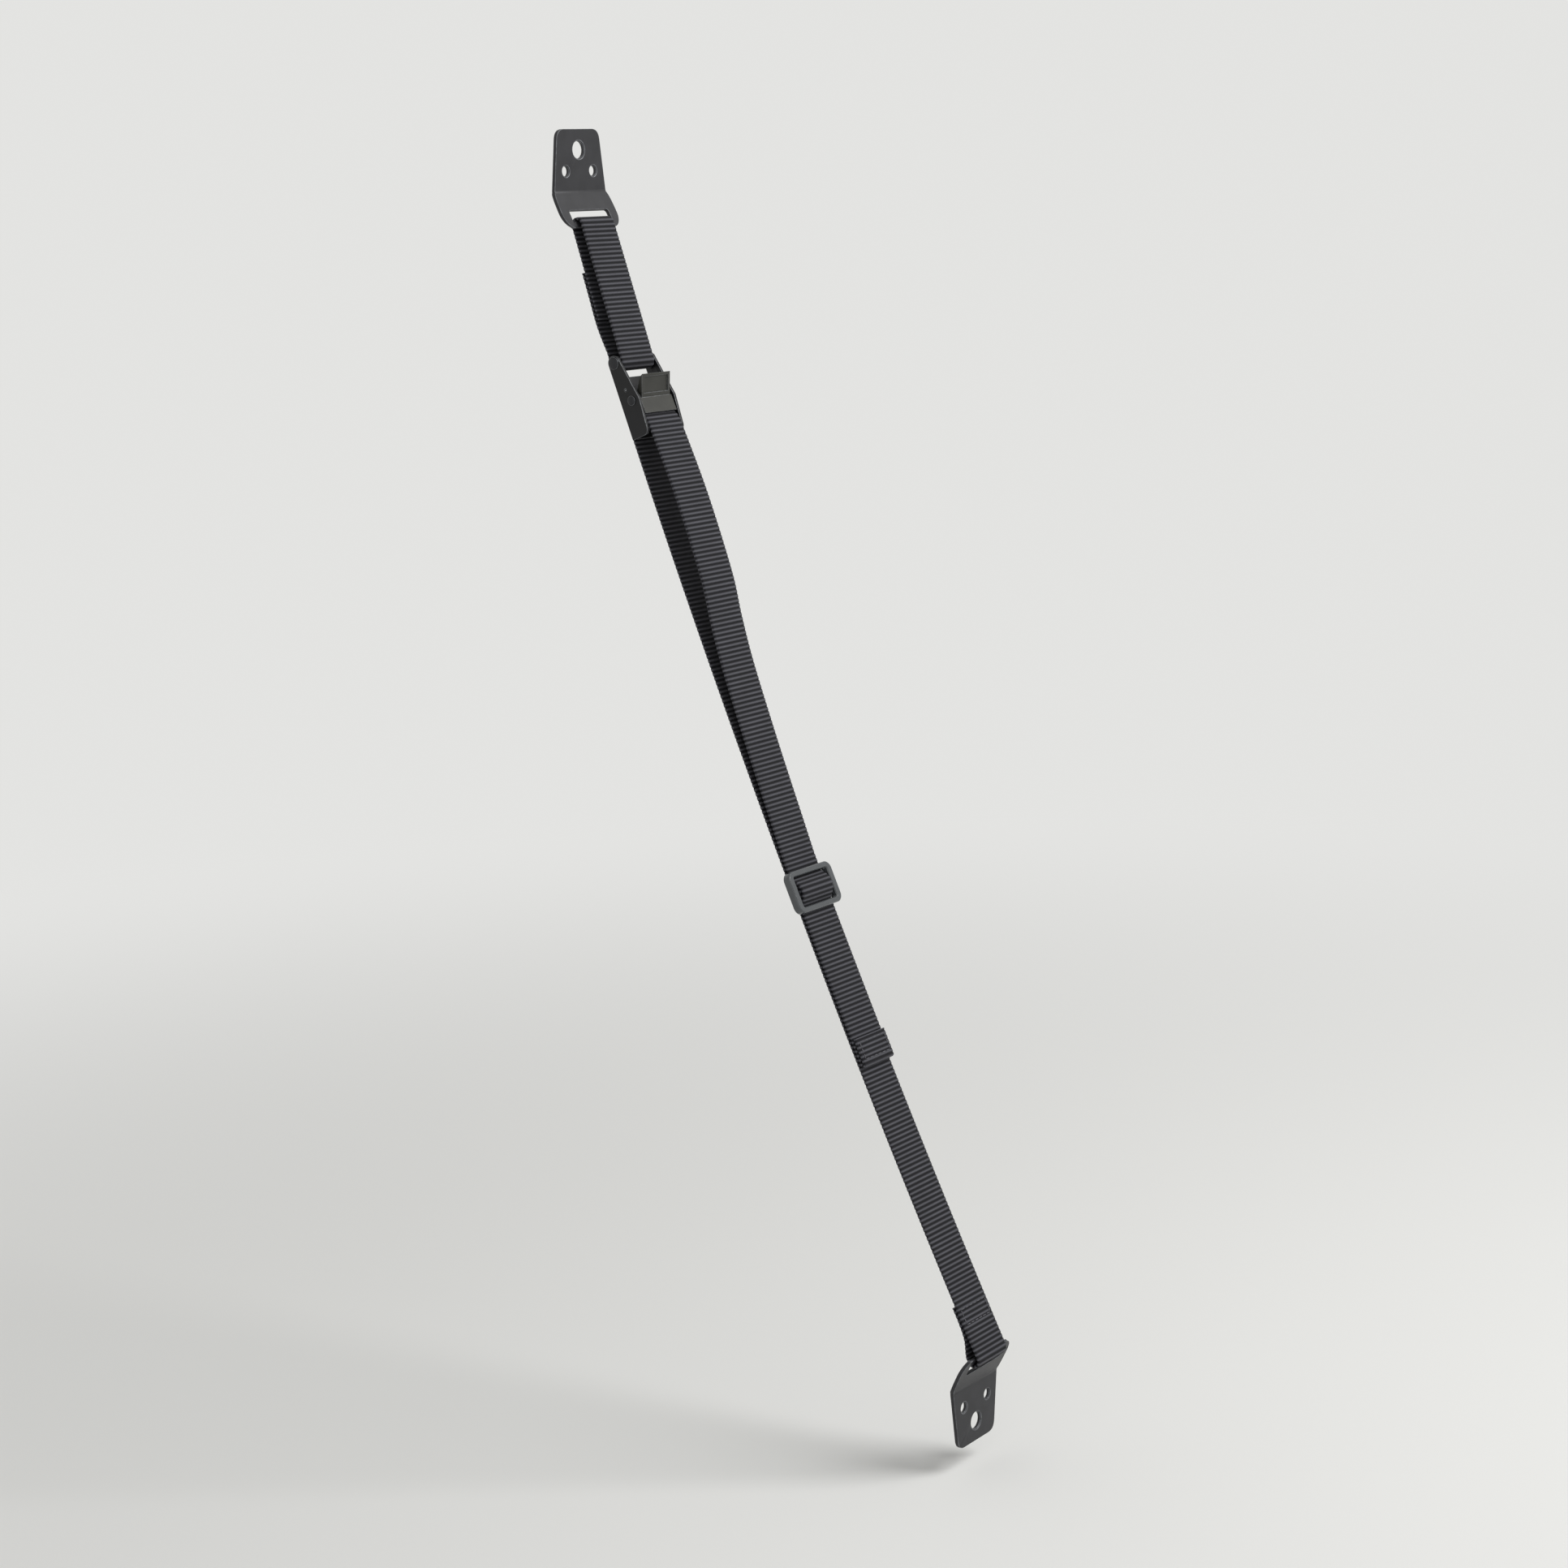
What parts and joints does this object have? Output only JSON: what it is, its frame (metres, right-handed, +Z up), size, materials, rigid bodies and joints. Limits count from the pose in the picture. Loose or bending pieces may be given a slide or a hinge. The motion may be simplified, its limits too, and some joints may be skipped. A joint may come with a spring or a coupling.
{
  "type": "furniture anti tip strap",
  "caption": "Webbing strap between bent screw-on brackets, drawn tight by a cam buckle, that keeps furniture from tipping over; a plastic slide holds its free tail.",
  "frame": {"origin": "on the upper bracket's flat back face, midway between its two small screw holes", "axes": "+Y out of the upper bracket's back face, into the surface it is fixed to; +Z up; +X across the strap. The strap hangs down and leans out towards -Y, as in the picture."},
  "size_m": [0.042, 0.2272, 0.6335],
  "materials": {
    "bracket_paint": "satin dark grey coated steel",
    "webbing": "ribbed dark grey synthetic webbing",
    "buckle_paint": "black coated pressed steel",
    "lever_paint": "satin dark grey coated casting",
    "pin_steel": "dark plated steel",
    "spring_steel": "drawn spring wire",
    "slide_plastic": "glossy black moulded plastic"
  },
  "bodies": {
    "upper_bracket": {"upper_bracket": "bracket_paint"},
    "upper_loop": {"upper_loop_webbing": "webbing"},
    "buckle": {"buckle_frame": "buckle_paint", "anchor_pin": "pin_steel", "cam_axle": "pin_steel", "torsion_spring": "spring_steel", "main_webbing": "webbing", "tri_glide": "slide_plastic"},
    "cam_lever": {"cam_lever": "lever_paint"},
    "lower_bracket": {"lower_bracket": "bracket_paint"}
  },
  "joints": [
    {"name": "loop_swing", "type": "hinge", "parent": "upper_bracket", "child": "upper_loop", "pos_m": [0, -0.00899, -0.02578], "axis": [-1, 0, 0], "range_deg": [-17.5, 100]},
    {"name": "buckle_swing", "type": "hinge", "parent": "upper_loop", "child": "buckle", "pos_m": [0, -0.03004, -0.09254], "axis": [-1, 0, 0], "range_deg": [-80, 80]},
    {"name": "cam_press", "type": "hinge", "parent": "buckle", "child": "cam_lever", "pos_m": [0, -0.04027, -0.11051], "axis": [-1, 0, 0], "range_deg": [0, 35], "stiffness_Nm_per_rad": 0.08, "springref_deg": -28.65, "deforming": ["torsion_spring"]},
    {"name": "lower_bracket_swing", "type": "hinge", "parent": "buckle", "child": "lower_bracket", "pos_m": [0, -0.22353, -0.56736], "axis": [-1, 0, 0], "range_deg": [-60, 100]}
  ]
}
